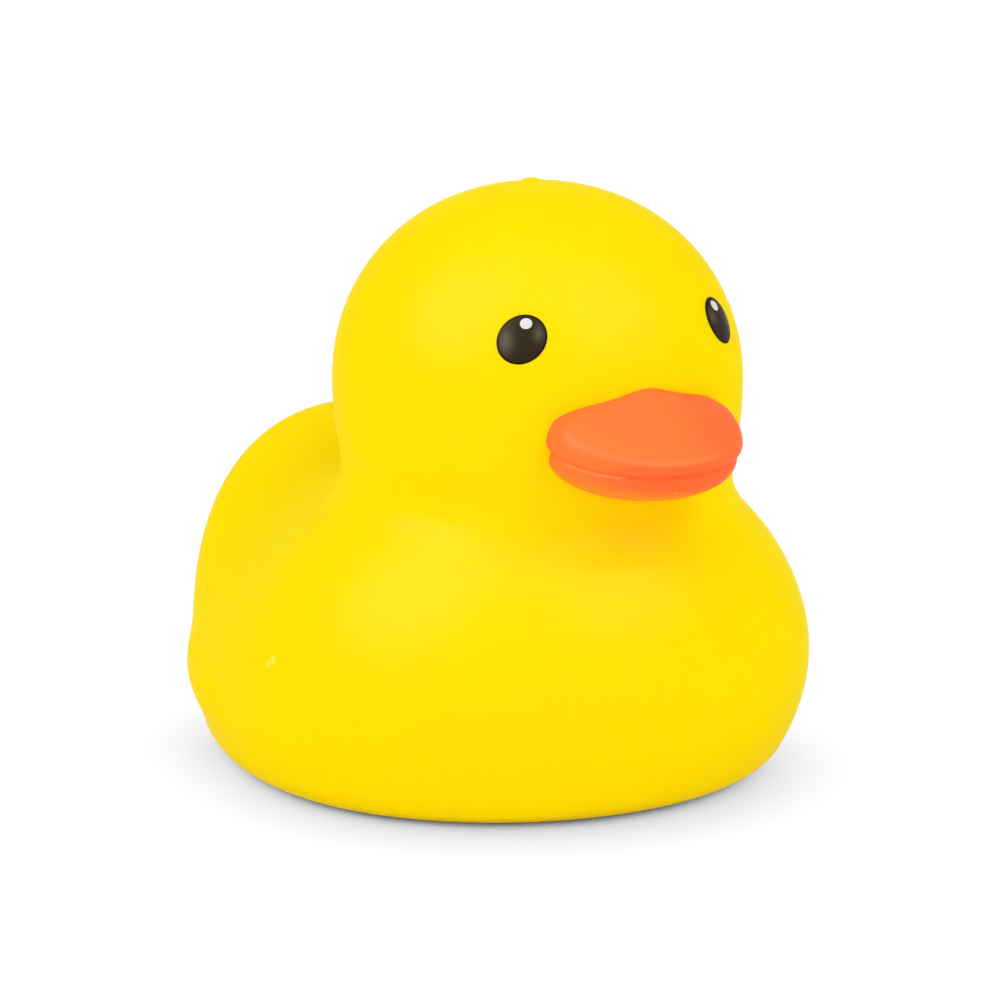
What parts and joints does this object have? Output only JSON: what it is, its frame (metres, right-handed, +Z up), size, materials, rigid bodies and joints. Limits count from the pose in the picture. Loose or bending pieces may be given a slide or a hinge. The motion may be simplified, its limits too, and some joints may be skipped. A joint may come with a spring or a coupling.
{
  "type": "toy duck",
  "caption": "Squishy toy duck with a round head, raised tail, low wings, parted bill and domed eyes; a soft moulding to squeeze that stands on a flat base.",
  "frame": {"origin": "on the flat base, under the widest section of the body, in the plane that halves the duck", "axes": "+Z up, -Y the way the duck faces, X across the body"},
  "size_m": [0.0784, 0.0955, 0.0804],
  "materials": {
    "yellow_rubber": "smooth satin soft rubber",
    "orange_paint": "satin paint on the bill",
    "dark_paint": "satin dark brown paint on the eyes",
    "white_paint": "white dot on each eye"
  },
  "bodies": {
    "root": {"duck": "yellow_rubber"}
  },
  "joints": []
}
